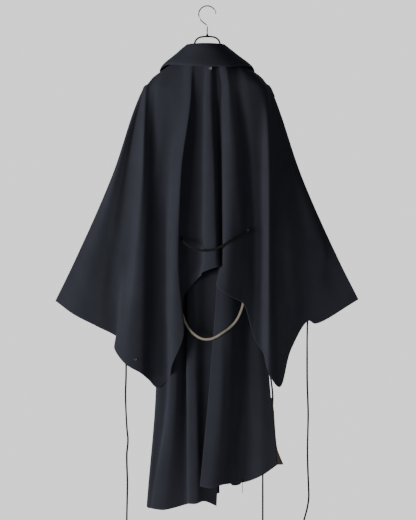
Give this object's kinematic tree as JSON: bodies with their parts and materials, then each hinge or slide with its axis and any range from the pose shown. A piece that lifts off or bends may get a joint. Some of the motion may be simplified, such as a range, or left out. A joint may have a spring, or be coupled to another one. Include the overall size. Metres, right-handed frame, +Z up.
{
  "type": "inverness coat on a hanger",
  "caption": "Long black sleeveless coat under a wide cape with pointed hems, a turned-down collar, hanging ties and straps, on a bent-wire hanger with a hook.",
  "frame": {"origin": "inside top of the hanger's hook, where a rail carries it", "axes": "+Z up, -Y towards the coat's back, -X towards the wearer's left"},
  "size_m": [0.848, 0.174, 1.4834],
  "materials": {
    "wool": "matt black wool gabardine",
    "lining": "brown satin",
    "cotton_tape": "undyed cotton tape",
    "cotton_cord": "black flat cotton cord",
    "steel": "warm nickel plate",
    "enamel": "black enamel",
    "pale_horn": "polished pale horn",
    "dark_horn": "polished dark horn"
  },
  "bodies": {
    "root": {"hanger_hook": "steel", "hanger_ferrule": "steel", "hanger_frame": "enamel", "collar": "wool", "cape_back": "wool", "cape_front_left": "wool", "cape_front_right": "wool", "coat_back_left": "wool", "coat_back_right": "wool", "coat_front_left": "wool", "coat_front_right": "wool", "lining_right": "lining", "button_back": "pale_horn", "button_front_1": "dark_horn", "button_front_2": "dark_horn", "button_front_3": "dark_horn", "button_front_4": "dark_horn", "eyelet_waist": "steel", "eyelet_hem": "steel", "waist_strap": "wool", "seat_strap": "cotton_tape", "cord_left": "cotton_cord", "cord_right": "cotton_cord", "cord_inner": "cotton_cord", "cord_tail": "cotton_cord"}
  },
  "joints": []
}
